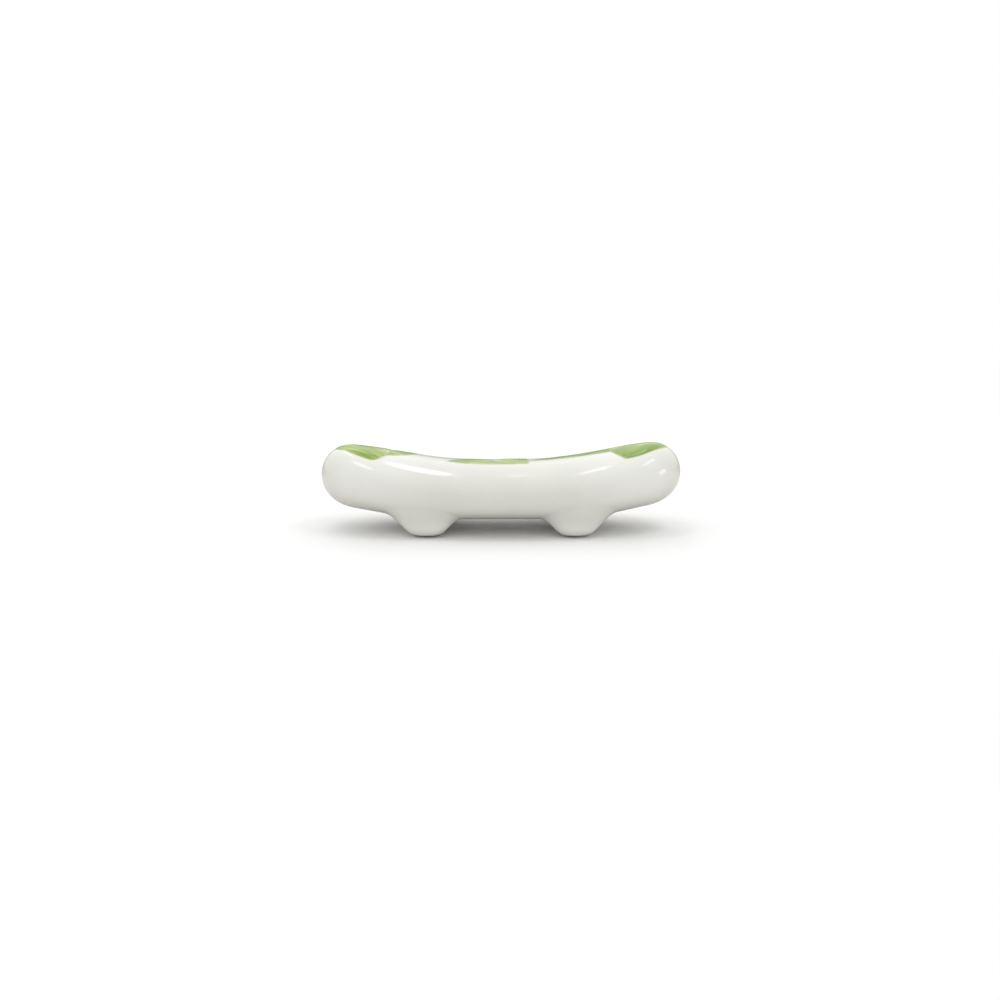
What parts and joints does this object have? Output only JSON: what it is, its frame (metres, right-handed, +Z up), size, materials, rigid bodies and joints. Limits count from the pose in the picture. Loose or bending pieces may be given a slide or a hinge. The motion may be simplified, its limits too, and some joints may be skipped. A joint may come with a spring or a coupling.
{
  "type": "chopstick rest",
  "caption": "Small glazed porcelain chopstick rest: a bolster with a shallow saddle, rounded raised ends, stub feet and green enamel leaves, on which chopstick tips lie.",
  "frame": {"origin": "on the table, under the middle of the body", "axes": "+X along the rest to the right end, +Y to its back, +Z up"},
  "size_m": [0.07, 0.0238, 0.0168],
  "materials": {
    "porcelain": "warm white porcelain under a clear gloss glaze",
    "green_enamel": "brushed leaf green enamel, gloss"
  },
  "bodies": {
    "root": {"body": "porcelain", "front_left_foot": "porcelain", "front_right_foot": "porcelain", "rear_left_foot": "porcelain", "rear_right_foot": "porcelain", "left_end_leaf": "green_enamel", "left_inner_leaf": "green_enamel", "front_leaf": "green_enamel", "centre_leaf": "green_enamel", "right_inner_leaf": "green_enamel", "right_end_leaf": "green_enamel"}
  },
  "joints": []
}
